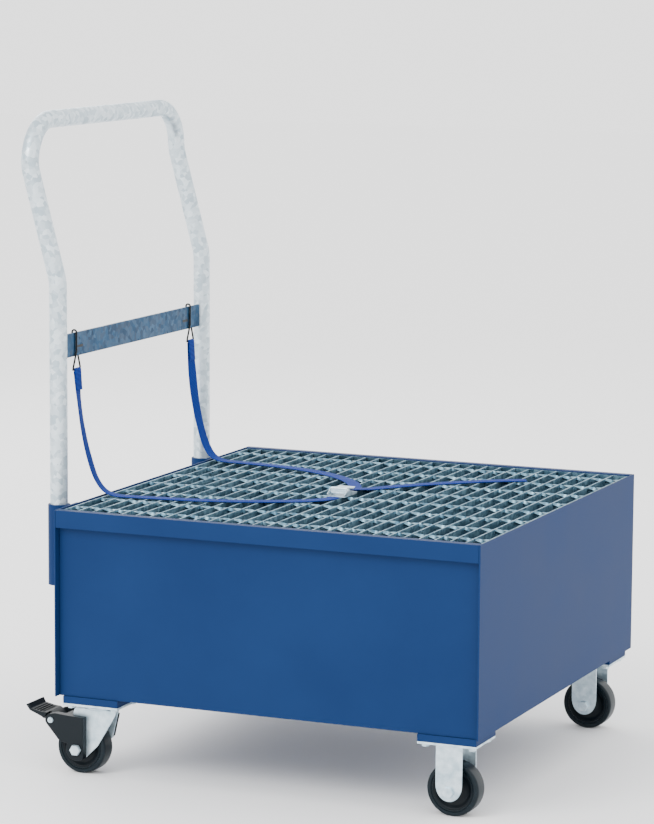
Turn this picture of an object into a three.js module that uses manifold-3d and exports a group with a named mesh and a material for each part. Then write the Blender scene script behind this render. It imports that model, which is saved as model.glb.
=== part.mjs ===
// A drum dolly: a steel spill sump on castors, with a lift-out grating, a push handle and a drum strap.
// Millimetres, +Z up. The push handle is at -X and the fixed castors at +X. In names, _r is the -Y side
// and _l the +Y side. Places are measured from the sump's corner at -X, -Y, at floor level.
import * as THREE from 'three';
import { mergeVertices } from 'three/addons/utils/BufferGeometryUtils.js';
import Module from 'manifold-3d';

const wasm = await Module();
wasm.setup();

// ---- driving dimensions ----
const gap = 0.3;            // clearance left between touching pieces
const sumpLength = 850;     // along X
const sumpWidth = 870;      // along Y
const sumpBottom = 155;     // height of the sump's underside above the floor
const sumpTop = 510;
const sheet = 3;            // sheet steel thickness
const rimDrop = 33;         // height of the folded rim band
const rimDepth = 18;        // from the rim's outer face to the long panel's inner face

const gratingTop = 508;
const barHeight = 30;
const barThickness = 3;
const barGaps = 28;
const rodCount = 8;
const rodPitch = 104;
const rodSize = 6;
const gratingInset = 7;     // from the end plates' outer faces
const gratingMargin = 20;   // from the long sides' outer faces
const ledgeSize = 30;

const tubeRadius = 16.85;
const legX = -52;           // the handle's legs stand outside the end plate
const railX = -110;         // and lean out to the push rail
const legY = 120;
const kinkLow = 925;        // heights where the legs start and stop leaning
const kinkHigh = 1138;
const kinkRadius = 100;
const railZ = 1225;
const cornerRadius = 80;
const socketRadius = 21.2;
const socketBottom = 345;
const socketTop = 500;
const spacerWidth = 60;

const strapPlateThickness = 5;
const strapPlateBottom = 776;
const strapPlateTop = 821;
const hookY = 185;
const hookWire = 1.8;       // wire radius
const hookEyeZ = 750;
const webWidth = 25.4;
const webThickness = 1.8;
const lie = gratingTop + gap + webThickness / 2;  // middle of webbing that lies on the grating

const swivelInsetX = 68;
const fixedInsetX = 65;
const castorInsetY = 62;
const footTop = sumpBottom - gap;
const plateTop = 141.2;
const plateBottom = 136.7;
const plateX = 114;
const plateY = 100;
const wheelRadius = 50;
const wheelWidth = 36;
const hubRadius = 38;
const axleRadius = 6;
const forkSheet = 3;
const trail = 36;           // the swivel castor's axle stands this far behind its kingpin

const handleLeft = railX - tubeRadius;
const centreX = (sumpLength + handleLeft) / 2;
const centreY = sumpWidth / 2;

// ---- materials ----
const paint = (color, roughness, metalness) => new THREE.MeshStandardMaterial({ color, roughness, metalness });
const bluePaint = paint(0x2f5f98, 0.45, 0.1);
const galvanised = paint(0xaeb8bb, 0.4, 0.9);
const brightTube = paint(0xc9d0d4, 0.35, 0.9);
const zincPlate = paint(0xc4cdd2, 0.3, 0.95);
const blackRubber = paint(0x1d2224, 0.6, 0);
const blackPlastic = paint(0x20262a, 0.5, 0);
const blackWire = paint(0x15181a, 0.4, 0.7);
const blueWeb = paint(0x1f5fb4, 0.8, 0);

// ---- solids ----
const point = (x, y, z) => new THREE.Vector3(x, y, z);

function bare(geometry) {
  const copy = geometry.clone();
  copy.deleteAttribute('normal');
  copy.deleteAttribute('uv');
  return mergeVertices(copy, 1e-4);
}

function solid(geometry) {
  const closed = bare(geometry);
  return new wasm.Manifold(new wasm.Mesh({
    numProp: 3,
    vertProperties: new Float32Array(closed.attributes.position.array),
    triVerts: new Uint32Array(closed.index.array),
  }));
}

function surface(manifold) {
  const mesh = manifold.getMesh();
  const geometry = new THREE.BufferGeometry();
  geometry.setAttribute('position', new THREE.BufferAttribute(new Float32Array(mesh.vertProperties), 3));
  geometry.setIndex(new THREE.BufferAttribute(new Uint32Array(mesh.triVerts), 1));
  return geometry;
}

const join = (...pieces) => surface(pieces.map(solid).reduce((all, next) => all.add(next)));

const cut = (body, ...tools) => surface(tools.map(solid).reduce((left, tool) => left.subtract(tool), solid(body)));

function block(x0, x1, y0, y1, z0, z1) {
  const box = new THREE.BoxGeometry(x1 - x0, y1 - y0, z1 - z0);
  return box.translate((x0 + x1) / 2, (y0 + y1) / 2, (z0 + z1) / 2);
}

const outline = (pairs) => new THREE.Shape(pairs.map(([a, b]) => new THREE.Vector2(a, b)));

function extruded(shape, depth, xAxis, yAxis, zAxis, curveSegments = 8) {
  const body = new THREE.ExtrudeGeometry(shape, { depth, bevelEnabled: false, curveSegments });
  return body.applyMatrix4(new THREE.Matrix4().makeBasis(xAxis, yAxis, zAxis));
}

// a side profile drawn in X and Z, from y0 to y1
function sideProfile(shape, y0, y1, curveSegments) {
  const body = extruded(shape, y1 - y0, point(1, 0, 0), point(0, 0, 1), point(0, -1, 0), curveSegments);
  return body.translate(0, y1, 0);
}

// an end profile drawn in Y and Z, from x0 to x1
function endProfile(shape, x0, x1, curveSegments) {
  const body = extruded(shape, x1 - x0, point(0, 1, 0), point(0, 0, 1), point(1, 0, 0), curveSegments);
  return body.translate(x0, 0, 0);
}

function rodAlongY(radius, y0, y1, sides = 16, x = 0, z = 0) {
  const rod = new THREE.CylinderGeometry(radius, radius, y1 - y0, sides);
  return rod.translate(x, (y0 + y1) / 2, z);
}

function rodAlongX(radius, x0, x1, sides = 12, y = 0, z = 0) {
  const rod = new THREE.CylinderGeometry(radius, radius, x1 - x0, sides).rotateZ(Math.PI / 2);
  return rod.translate((x0 + x1) / 2, y, z);
}

function rodAlongZ(radius, z0, z1, sides = 16) {
  const rod = new THREE.CylinderGeometry(radius, radius, z1 - z0, sides).rotateX(Math.PI / 2);
  return rod.translate(0, 0, (z0 + z1) / 2);
}

// straight runs joined by round bends, measured along its length
class BentPath extends THREE.Curve {
  constructor(corners, radii) {
    super();
    this.runs = [];
    let from = corners[0];
    radii.forEach((radius, i) => {
      const corner = corners[i + 1];
      const into = corner.clone().sub(corners[i]).normalize();
      const out = corners[i + 2].clone().sub(corner).normalize();
      const turn = into.angleTo(out);
      const setback = radius * Math.tan(turn / 2);
      const start = corner.clone().addScaledVector(into, -setback);
      const inward = out.clone().sub(into).normalize();
      const centre = corner.clone().addScaledVector(inward, radius / Math.cos(turn / 2));
      this.addStraight(from, start);
      this.addBend(centre, start, into, radius, turn);
      from = corner.clone().addScaledVector(out, setback);
    });
    this.addStraight(from, corners[corners.length - 1]);
    this.total = this.runs.reduce((sum, run) => sum + run.length, 0);
  }

  addStraight(start, end) {
    const heading = end.clone().sub(start).normalize();
    this.runs.push({ length: start.distanceTo(end), at: (s) => start.clone().addScaledVector(heading, s) });
  }

  addBend(centre, start, heading, radius, turn) {
    const outward = start.clone().sub(centre);
    this.runs.push({
      length: radius * turn,
      at: (s) => centre.clone()
        .addScaledVector(outward, Math.cos(s / radius))
        .addScaledVector(heading, radius * Math.sin(s / radius)),
    });
  }

  getPoint(t, target = new THREE.Vector3()) {
    let along = t * this.total;
    for (const run of this.runs) {
      if (along <= run.length) return target.copy(run.at(along));
      along -= run.length;
    }
    const last = this.runs[this.runs.length - 1];
    return target.copy(last.at(last.length));
  }
}

function tubeAlong(path, radius, sides, steps) {
  const ring = [];
  for (let i = 0; i < sides; i += 1) {
    const angle = (2 * Math.PI * i) / sides;
    ring.push([radius * Math.cos(angle), radius * Math.sin(angle)]);
  }
  return new THREE.ExtrudeGeometry(outline(ring), { steps, extrudePath: path, bevelEnabled: false });
}

// flat webbing along a route: its width stays level and square to the way it runs in plan
function webbing(route, steps) {
  const curve = new THREE.CatmullRomCurve3(route, false, 'centripetal');
  const positions = [];
  const faces = [];
  for (let i = 0; i <= steps; i += 1) {
    const along = i / steps;
    const centre = curve.getPointAt(along);
    centre.z = Math.max(centre.z, lie);
    const tangent = curve.getTangentAt(along);
    const behind = curve.getPointAt(Math.max(0, along - 0.04));
    const ahead = curve.getPointAt(Math.min(1, along + 0.04));
    const across = point(behind.y - ahead.y, ahead.x - behind.x, 0).normalize();
    const up = tangent.clone().cross(across).normalize();
    for (const [side, level] of [[-1, -1], [1, -1], [1, 1], [-1, 1]]) {
      const corner = centre.clone()
        .addScaledVector(across, (side * webWidth) / 2)
        .addScaledVector(up, (level * webThickness) / 2);
      positions.push(corner.x, corner.y, corner.z);
    }
    if (i === 0) continue;
    const now = 4 * i;
    const last = now - 4;
    for (let k = 0; k < 4; k += 1) {
      const next = (k + 1) % 4;
      faces.push(last + k, last + next, now + next, last + k, now + next, now + k);
    }
  }
  const end = 4 * steps;
  faces.push(0, 2, 1, 0, 3, 2, end, end + 1, end + 2, end, end + 2, end + 3);
  const geometry = new THREE.BufferGeometry();
  geometry.setAttribute('position', new THREE.BufferAttribute(new Float32Array(positions), 3));
  geometry.setIndex(faces);
  return geometry;
}

// ---- the assembly ----
const dolly = new THREE.Group();
const body = new THREE.Group();
body.position.set(-centreX, -centreY, 0);
dolly.add(body);

function place(group, name, geometry, material) {
  const mesh = new THREE.Mesh(geometry, material);
  mesh.name = name;
  group.add(mesh);
  return mesh;
}

// ---- sump: a folded panel on each long side between two flat end plates ----
const innerLeft = sheet + gap;
const innerRight = sumpLength - sheet - gap;

function longPanel(mirrored) {
  const profile = [
    [0, sumpTop - rimDrop], [sheet, sumpTop - rimDrop], [sheet, sumpTop - sheet],
    [rimDepth - sheet, sumpTop - sheet], [rimDepth - sheet, sumpBottom], [rimDepth, sumpBottom],
    [rimDepth, sumpTop], [0, sumpTop],
  ];
  const drawn = mirrored ? profile.map(([y, z]) => [sumpWidth - y, z]).reverse() : profile;
  return endProfile(outline(drawn), innerLeft, innerRight);
}

place(body, 'sump_panel_r', longPanel(false), bluePaint);
place(body, 'sump_panel_l', longPanel(true), bluePaint);
place(body, 'sump_end_plate_handle', block(0, sheet, 0, sumpWidth, sumpBottom, sumpTop), bluePaint);
const frontPlate = block(sumpLength - sheet, sumpLength, 0, sumpWidth, sumpBottom, sumpTop);
place(body, 'sump_end_plate_front', frontPlate, bluePaint);
const floorNear = rimDepth + gap;
const floorPlate = block(innerLeft, innerRight, floorNear, sumpWidth - floorNear, sumpBottom, sumpBottom + sheet);
place(body, 'sump_floor', floorPlate, bluePaint);

const ledgeTop = gratingTop - barHeight - gap;
function ledge(mirrored) {
  const y = rimDepth + gap;
  const profile = [
    [y, ledgeTop - ledgeSize], [y + sheet, ledgeTop - ledgeSize], [y + sheet, ledgeTop - sheet],
    [y + ledgeSize, ledgeTop - sheet], [y + ledgeSize, ledgeTop], [y, ledgeTop],
  ];
  const drawn = mirrored ? profile.map(([a, z]) => [sumpWidth - a, z]).reverse() : profile;
  return endProfile(outline(drawn), innerLeft + gap, innerRight - gap);
}
place(body, 'grating_ledge_r', ledge(false), bluePaint);
place(body, 'grating_ledge_l', ledge(true), bluePaint);

// ---- grating: bearing bars along Y inside a flat-bar frame, tied by cross rods along X ----
function grating() {
  const left = gratingInset;
  const right = sumpLength - gratingInset;
  const near = gratingMargin;
  const far = sumpWidth - gratingMargin;
  const pitch = (right - left - barThickness) / barGaps;
  const slots = [];
  for (let i = 0; i < barGaps; i += 1) {
    const x = left + barThickness + i * pitch;
    const end = x + pitch - barThickness;
    slots.push(block(x, end, near + barThickness, far - barThickness, gratingTop - 2 * barHeight, gratingTop + 10));
  }
  const bars = cut(block(left, right, near, far, gratingTop - barHeight, gratingTop), ...slots);
  const rods = [];
  const firstRod = (sumpWidth - rodPitch * (rodCount - 1)) / 2;
  for (let i = 0; i < rodCount; i += 1) {
    const y = firstRod + i * rodPitch;
    rods.push(block(left + 1, right - 1, y - rodSize / 2, y + rodSize / 2, gratingTop - 1 - rodSize, gratingTop - 1));
  }
  return join(bars, ...rods);
}
place(body, 'grating', grating(), galvanised);

// ---- push handle in its two sockets ----
const farLegY = sumpWidth - legY;
const legFoot = socketBottom + 5;
const handlePath = new BentPath([
  point(legX, legY, legFoot), point(legX, legY, kinkLow), point(railX, legY, kinkHigh),
  point(railX, legY, railZ), point(railX, farLegY, railZ), point(railX, farLegY, kinkHigh),
  point(legX, farLegY, kinkLow), point(legX, farLegY, legFoot),
], [kinkRadius, kinkRadius, cornerRadius, cornerRadius, kinkRadius, kinkRadius]);
place(body, 'handle_tube', tubeAlong(handlePath, tubeRadius, 12, 64), brightTube);

const socketBore = tubeRadius + 0.45;
const screwZ = 430;
const screwRadius = 4;

function socket(y) {
  const height = socketTop - socketBottom;
  const section = [[socketBore, 0], [socketRadius, 0], [socketRadius, height], [socketBore, height], [socketBore, 0]];
  const sleeve = new THREE.LatheGeometry(section.map(([r, z]) => new THREE.Vector2(r, z)), 24);
  return sleeve.rotateX(Math.PI / 2).translate(legX, y, socketBottom);
}

// a set screw in the side of a socket that faces the middle of the dolly
function setScrew(y, inward) {
  const tip = y + inward * (socketBore + 0.2);
  const seat = y + inward * (socketRadius + gap);
  const shank = rodAlongY(screwRadius, -3.4, 3.4, 12, legX, screwZ).translate(0, tip + inward * 3.4, 0);
  const head = rodAlongY(7.5, -2.5, 2.5, 6, legX, screwZ).translate(0, seat + inward * 2.5, 0);
  return join(shank, head);
}

function spacer(y) {
  const near = -gap;
  const far = legX + socketRadius + gap;
  const half = spacerWidth / 2;
  const wall = outline([[far, y - half], [near, y - half], [near, y + half], [far, y + half]]);
  wall.holes.push(outline([
    [far + sheet, y - half + sheet], [far + sheet, y + half - sheet],
    [near - sheet, y + half - sheet], [near - sheet, y - half + sheet],
  ]));
  const tube = new THREE.ExtrudeGeometry(wall, { depth: socketTop - socketBottom, bevelEnabled: false });
  return tube.translate(0, 0, socketBottom);
}

for (const [tag, y, inward] of [['r', legY, 1], ['l', farLegY, -1]]) {
  const screwHole = rodAlongY(screwRadius + gap, -8, 8, 12, legX, screwZ).translate(0, y + inward * 20, 0);
  place(body, `handle_socket_${tag}`, cut(socket(y), screwHole), bluePaint);
  place(body, `handle_screw_${tag}`, setScrew(y, inward), zincPlate);
  place(body, `socket_spacer_${tag}`, spacer(y), bluePaint);
}

const plateEndY = legY + tubeRadius + gap;
const plateLeft = legX - strapPlateThickness / 2;
const plateRight = legX + strapPlateThickness / 2;
const strapPlate = block(plateLeft, plateRight, plateEndY, sumpWidth - plateEndY, strapPlateBottom, strapPlateTop);
place(body, 'strap_plate', strapPlate, galvanised);

// ---- wire hooks over the strap plate: a crook at the top, a three-sided eye below ----
const hookFront = plateRight + hookWire + 0.35;
const hookBack = plateLeft - hookWire - 0.35;
function hook(y) {
  const eyeHalf = 16;
  const neck = strapPlateTop - 36;
  const crown = strapPlateTop + 5.1;
  return tubeAlong(new BentPath([
    point(hookBack, y, strapPlateTop - 18), point(hookBack, y, crown), point(hookFront, y, crown),
    point(hookFront, y, neck), point(hookFront, y - eyeHalf, hookEyeZ),
    point(hookFront, y + eyeHalf, hookEyeZ),
    point(hookFront, y + 6, neck - 8),
  ], [4.6, 4.6, 8, 4, 4]), hookWire, 6, 44);
}
place(body, 'strap_hook_r', hook(hookY), blackWire);
place(body, 'strap_hook_l', hook(sumpWidth - hookY), blackWire);

// ---- drum strap: it hangs from both hooks and lies slack on the grating, joined by a cam buckle ----
const hangTop = hookEyeZ - hookWire - gap;
const buckleX = 415;
const buckleNear = 367.5;
const buckleFar = 426.5;

const strapShortRoute = [
  point(hookFront, 185, hangTop), point(-45.6, 185, 725), point(-42.5, 185.5, 690), point(-36, 187, 640),
  point(-24, 189, 585), point(-8, 191, 540), point(8, 194, 519), point(25, 197, 511.5), point(45, 200, lie),
  point(100, 207, lie), point(150, 213, lie), point(200, 222, lie), point(250, 237, lie), point(300, 256, lie),
  point(345, 279, lie), point(382, 303, lie), point(405, 327, lie), point(413, 345, lie), point(415, 362, lie),
];
place(body, 'strap_short', webbing(strapShortRoute, 36), blueWeb);

const strapLongRoute = [
  point(hookFront, 685, hangTop), point(-45.6, 685, 725), point(-42.5, 684.5, 690), point(-36, 683, 640),
  point(-24, 681, 585), point(-8, 679, 540), point(8, 676, 519), point(25, 674, 511.5), point(45, 672, lie),
  point(100, 668, lie), point(150, 661, lie), point(200, 650, lie), point(245, 634, lie), point(290, 612, lie),
  point(327, 586, lie), point(360, 556, lie), point(385, 524, lie), point(403, 490, lie), point(412.5, 455, lie),
  point(415.5, 430, lie),
];
place(body, 'strap_long', webbing(strapLongRoute, 40), blueWeb);

const strapTailRoute = [
  point(418, 429, lie + 5.3), point(422, 440, lie + 4.6), point(428, 455, lie + 3), point(437, 473, lie + 1),
  point(450, 497, lie), point(466, 520, lie), point(484, 543, lie), point(505, 566, lie), point(527, 589, lie),
  point(550, 611, lie), point(573, 633, lie), point(597, 654, lie), point(623, 674, lie), point(650, 692, lie),
  point(678, 708, lie),
];
place(body, 'strap_tail', webbing(strapTailRoute, 20), blueWeb);

const buckleFloor = gratingTop + gap;
const cheekInner = 17.2;
const cheekOuter = 19;
const buckleAxleY = 385;
const buckleAxleZ = buckleFloor + 10.7;
const buckleAxleRadius = 2.5;
const camRadius = 6.8;
const pinBore = () => rodAlongX(buckleAxleRadius + gap, buckleX - 25, buckleX + 25, 12, buckleAxleY, buckleAxleZ);

function buckleFrame() {
  const base = block(buckleX - cheekOuter, buckleX + cheekOuter, buckleNear, buckleFar, buckleFloor, buckleFloor + 1.8);
  const cheek = outline([
    [buckleNear, buckleFloor], [buckleFar, buckleFloor], [buckleFar, buckleFloor + 4],
    [buckleAxleY + 20, buckleFloor + 8],
    [buckleAxleY + 9, buckleFloor + 15.5], [buckleAxleY - 8, buckleFloor + 15.5], [buckleNear, buckleFloor + 6],
  ]);
  const nearCheek = endProfile(cheek, buckleX - cheekOuter, buckleX - cheekInner);
  const farCheek = endProfile(cheek, buckleX + cheekInner, buckleX + cheekOuter);
  return cut(join(base, nearCheek, farCheek), pinBore());
}
place(body, 'buckle_frame', buckleFrame(), zincPlate);
const pinEnd = cheekOuter + 1;
const bucklePin = rodAlongX(buckleAxleRadius, buckleX - pinEnd, buckleX + pinEnd, 12, buckleAxleY, buckleAxleZ);
place(body, 'buckle_pin', bucklePin, zincPlate);

function buckleLever() {
  const half = cheekInner - 0.6;
  const cam = rodAlongX(camRadius, buckleX - half, buckleX + half, 16, buckleAxleY, buckleAxleZ);
  const thumb = endProfile(outline([
    [buckleAxleY, buckleFloor + 13.5], [buckleAxleY + 31, buckleFloor + 10.4], [buckleAxleY + 38, buckleFloor + 12],
    [buckleAxleY + 38, buckleFloor + 14], [buckleAxleY + 30, buckleFloor + 12.6], [buckleAxleY, buckleFloor + 17],
  ]), buckleX - half, buckleX + half);
  return cut(join(cam, thumb), pinBore());
}
place(body, 'buckle_lever', buckleLever(), zincPlate);

// ---- castors: each is built about its own mid-plane, standing on the floor ----
const axleBore = (x) => rodAlongY(axleRadius + gap, -60, 60, 16, x, wheelRadius);

const lathed = (section) => new THREE.LatheGeometry(section.map(([r, y]) => new THREE.Vector2(r, y)), 20);

function tyre() {
  const half = wheelWidth / 2;
  const inner = hubRadius + gap;
  return lathed([
    [inner, -half], [47.5, -half], [wheelRadius, -half + 2.5], [wheelRadius, half - 2.5], [47.5, half],
    [inner, half], [inner, -half],
  ]);
}

// bossHalf is half the length of the hub's boss, which fills the space between the fork legs
function hub(bossHalf) {
  const half = wheelWidth / 2;
  const bore = axleRadius + gap;
  return lathed([
    [bore, -bossHalf], [14, -bossHalf], [17, -half + 7], [30, -half + 7], [hubRadius, -half + 2],
    [hubRadius, half - 2], [30, half - 7], [17, half - 7], [14, bossHalf], [bore, bossHalf], [bore, -bossHalf],
  ]);
}

function wheel(group, tag, x, legInner) {
  place(group, `wheel_tyre_${tag}`, tyre().translate(x, 0, wheelRadius), blackRubber);
  place(group, `wheel_hub_${tag}`, hub(legInner - 1).translate(x, 0, wheelRadius), blackPlastic);
}

// a hexagon-headed axle bolt along Y with its nut, over the faces that they clamp
function axleBolt(x, headSeat, nutSeat) {
  const shank = rodAlongY(axleRadius, headSeat - 2, nutSeat + 10, 12, x, wheelRadius);
  const head = rodAlongY(11, headSeat - gap - 7.5, headSeat - gap, 6, x, wheelRadius);
  const nut = rodAlongY(11, nutSeat + gap, nutSeat + gap + 8, 6, x, wheelRadius);
  return join(shank, head, nut);
}

const topPlate = () => block(-plateX / 2, plateX / 2, -plateY / 2, plateY / 2, plateBottom, plateTop);

// two legs joined under the top plate by a crown
function fork(nearSide, farSide, inner, crown, ...holes) {
  const outer = inner + forkSheet;
  const legs = [sideProfile(nearSide, -outer, -inner, 6), sideProfile(farSide, inner, outer, 6)];
  const bridge = block(crown.x0, crown.x1, -outer + 0.5, outer - 0.5, crown.top - forkSheet, crown.top);
  return cut(join(...legs, bridge), ...holes);
}

const fixedLeg = 34;        // from the castor's mid-plane to the fork leg's inner face
const fixedHalf = 25.5;

function fixedCastor(group, tag) {
  const top = plateBottom - gap;
  const side = new THREE.Shape();
  side.moveTo(-fixedHalf, top);
  side.lineTo(-fixedHalf, 65);
  side.bezierCurveTo(-fixedHalf, 46, -15, 32, 0, 32);
  side.bezierCurveTo(15, 32, fixedHalf, 46, fixedHalf, 65);
  side.lineTo(fixedHalf, top);
  place(group, `castor_plate_${tag}`, topPlate(), zincPlate);
  const crown = { x0: -fixedHalf, x1: fixedHalf, top };
  place(group, `castor_fork_${tag}`, fork(side, side, fixedLeg, crown, axleBore(0)), zincPlate);
  wheel(group, tag, 0, fixedLeg);
  place(group, `axle_bolt_${tag}`, axleBolt(0, -fixedLeg - forkSheet, fixedLeg + forkSheet), zincPlate);
}

const swivelLeg = 19;
const crownTop = 127;
const raceRadius = 33;
const kingpinRadius = 8;
const kingpinFoot = 115.3;
const pedalPivotX = -90;
const pedalPivotZ = 102.3;
const pedalPinRadius = 3;
const housingInner = swivelLeg + forkSheet + gap;
const housingNear = -38;    // outer face of the brake housing's thick cheek
const housingFar = 30;

// rightSide is the leg's edge on the side away from the axle, going up
function swivelLegSide(rightSide) {
  const side = new THREE.Shape();
  side.moveTo(-46, crownTop);
  side.lineTo(-50, 118);
  side.lineTo(-trail - 21, wheelRadius + 2);
  side.absarc(-trail, wheelRadius, 21, Math.PI * 0.97, Math.PI * 1.72, false);
  rightSide.forEach(([x, z]) => side.lineTo(x, z));
  return side;
}

function swivelFork() {
  const near = swivelLegSide([[1, 57], [39, 120], [40.5, crownTop]]);
  const far = swivelLegSide([[12, 66], [23, 113], [27, crownTop]]);
  const crown = { x0: -46, x1: 27, top: crownTop };
  const kingpinBore = rodAlongZ(kingpinRadius + gap, crownTop - 20, crownTop + 20);
  return fork(near, far, swivelLeg, crown, axleBore(-trail), kingpinBore);
}

const pivotBore = () => rodAlongY(pedalPinRadius + gap, -60, 60, 12, pedalPivotX, pedalPivotZ);

function housingCheek(right) {
  const side = new THREE.Shape();
  side.moveTo(-22, 36);
  right.forEach(([x, z]) => side.lineTo(x, z));
  side.lineTo(pedalPivotX + 8, pedalPivotZ + 14);
  side.lineTo(pedalPivotX, pedalPivotZ + 12);
  side.absarc(pedalPivotX, pedalPivotZ, 12, Math.PI * 0.5, Math.PI * 1.2, false);
  side.lineTo(-72, 64);
  side.absarc(-trail, wheelRadius, 22, Math.PI * 0.85, Math.PI * 1.7, false);
  return side;
}

function brakeHousing() {
  const nearCheek = sideProfile(housingCheek([[-22, 112]]), housingNear, -housingInner, 8);
  const farCheek = sideProfile(housingCheek([[13, 69], [23, 113]]), housingInner, housingFar, 8);
  const bridge = block(-70, -54, -housingInner - 1, housingInner + 1, 108, 112.5);
  return cut(join(nearCheek, farCheek, bridge), axleBore(-trail), pivotBore());
}

// the arm reaches the pin between the cheeks, and the tread lies beyond them, with a lip at its end
function brakePedal() {
  const arm = sideProfile(outline([
    [-89, 94.5], [-82.5, 99], [-82.5, 106], [-89, 110.5], [-97, 115], [-109, 116], [-111, 109], [-106, 103.6],
    [-98, 95],
  ]), -21.5, 21.5);
  const tread = sideProfile(outline([
    [-104, 103.5], [-98.5, 115.5], [-113, 117], [-132, 121], [-137, 130], [-142.5, 127.6], [-134.5, 117],
    [-109, 107],
  ]), housingNear, 23.4);
  return cut(join(arm, tread), pivotBore());
}

function pedalPin() {
  const shank = rodAlongY(pedalPinRadius, housingNear - 1, housingFar + 1, 12, pedalPivotX, pedalPivotZ);
  const nearHead = rodAlongY(6, housingNear - gap - 2.5, housingNear - gap, 12, pedalPivotX, pedalPivotZ);
  const farHead = rodAlongY(6, housingFar + gap, housingFar + gap + 2.5, 12, pedalPivotX, pedalPivotZ);
  return join(shank, nearHead, farHead);
}

function swivelCastor(group, tag) {
  const raceTop = plateBottom - gap;
  const race = rodAlongZ(raceRadius, crownTop + gap, raceTop, 24);
  const kingpin = join(
    rodAlongZ(kingpinRadius, kingpinFoot, raceTop),
    rodAlongZ(12, kingpinFoot, crownTop - forkSheet - gap, 6),
  );
  place(group, `castor_plate_${tag}`, topPlate(), zincPlate);
  place(group, `swivel_race_${tag}`, cut(race, rodAlongZ(kingpinRadius + gap, 100, 160)), zincPlate);
  place(group, `kingpin_${tag}`, kingpin, zincPlate);
  place(group, `castor_fork_${tag}`, swivelFork(), zincPlate);
  place(group, `brake_housing_${tag}`, brakeHousing(), blackPlastic);
  place(group, `brake_pedal_${tag}`, brakePedal(), blackPlastic);
  place(group, `pedal_pin_${tag}`, pedalPin(), zincPlate);
  wheel(group, tag, -trail, swivelLeg);
  place(group, `axle_bolt_${tag}`, axleBolt(-trail, housingNear, housingFar), zincPlate);
}

for (const [side, y] of [['r', castorInsetY], ['l', sumpWidth - castorInsetY]]) {
  const ends = [['swivel', swivelInsetX, swivelCastor], ['fixed', sumpLength - fixedInsetX, fixedCastor]];
  for (const [end, x, make] of ends) {
    const castor = new THREE.Group();
    castor.position.set(x, y, 0);
    body.add(castor);
    make(castor, `${end}_${side}`);
    const foot = block(-plateX / 2, plateX / 2, -plateY / 2, plateY / 2, plateTop + gap, footTop);
    place(castor, `foot_plate_${end}_${side}`, foot, bluePaint);
  }
}

export default dolly;
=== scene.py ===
import math
import bmesh
import bpy
from mathutils import Matrix, Vector


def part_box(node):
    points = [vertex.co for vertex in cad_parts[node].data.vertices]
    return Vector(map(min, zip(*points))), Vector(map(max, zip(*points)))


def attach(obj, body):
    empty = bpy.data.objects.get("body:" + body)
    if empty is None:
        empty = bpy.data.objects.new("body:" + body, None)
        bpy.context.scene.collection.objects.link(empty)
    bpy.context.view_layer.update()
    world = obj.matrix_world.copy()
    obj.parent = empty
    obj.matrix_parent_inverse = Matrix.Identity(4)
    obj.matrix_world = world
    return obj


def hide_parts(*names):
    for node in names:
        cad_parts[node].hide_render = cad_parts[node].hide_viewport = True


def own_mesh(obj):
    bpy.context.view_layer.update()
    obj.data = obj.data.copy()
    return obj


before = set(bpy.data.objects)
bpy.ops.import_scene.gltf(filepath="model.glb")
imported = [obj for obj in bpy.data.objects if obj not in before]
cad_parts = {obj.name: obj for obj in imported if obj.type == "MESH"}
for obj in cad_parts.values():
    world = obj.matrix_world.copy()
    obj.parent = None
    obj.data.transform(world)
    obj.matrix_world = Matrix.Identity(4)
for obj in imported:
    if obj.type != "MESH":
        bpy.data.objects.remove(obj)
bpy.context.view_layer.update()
mm = 0.001
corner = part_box("sump_end_plate_handle")[0].copy()   # the sump's near left corner, brought down to the floor
corner.z = 0
sides = ("r", "l")   # r is the near side, l the far side
sumpWidth = 870
hookY = 185


def at(x, y, z):   # millimetres from the corner to a place in the frame
    return corner + Vector((x, y, z)) * mm


# camera, floor and light
camera = {"place": (2.5198, -5.8428, 1.5737), "turn": 23.29, "down": 8.16, "roll": 0.35, "lens": 145.2}
studio = {"floor": "#fdfdfd", "sky": "#ffffff", "skyStrength": 2.2, "key": 180, "fill": 4, "rim": 50}


def linear(hexColour):   # sRGB hex to linear
    parts = [int(hexColour[i:i + 2], 16) / 255 for i in (1, 3, 5)]
    return [p / 12.92 if p <= 0.04045 else ((p + 0.055) / 1.055) ** 2.4 for p in parts] + [1]


def makeCamera():
    lens = bpy.data.cameras.new("camera")
    lens.lens = camera["lens"]
    lens.sensor_width = 36
    lens.clip_end = 60
    holder = bpy.data.objects.new("camera", lens)
    bpy.context.scene.collection.objects.link(holder)
    pitch = Matrix.Rotation(math.radians(90 - camera["down"]), 4, "X")
    turn = Matrix.Rotation(math.radians(camera["turn"]), 4, "Z")
    roll = Matrix.Rotation(math.radians(camera["roll"]), 4, "Z")
    holder.matrix_world = Matrix.Translation(camera["place"]) @ turn @ pitch @ roll
    bpy.context.scene.camera = holder


def softLight(name, place, aim, power, size):
    data = bpy.data.lights.new(name, "AREA")
    data.energy = power
    data.size = size
    lamp = bpy.data.objects.new(name, data)
    bpy.context.scene.collection.objects.link(lamp)
    lamp.location = place
    lamp.rotation_euler = (Vector(aim) - Vector(place)).to_track_quat("-Z", "Y").to_euler()


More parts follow.
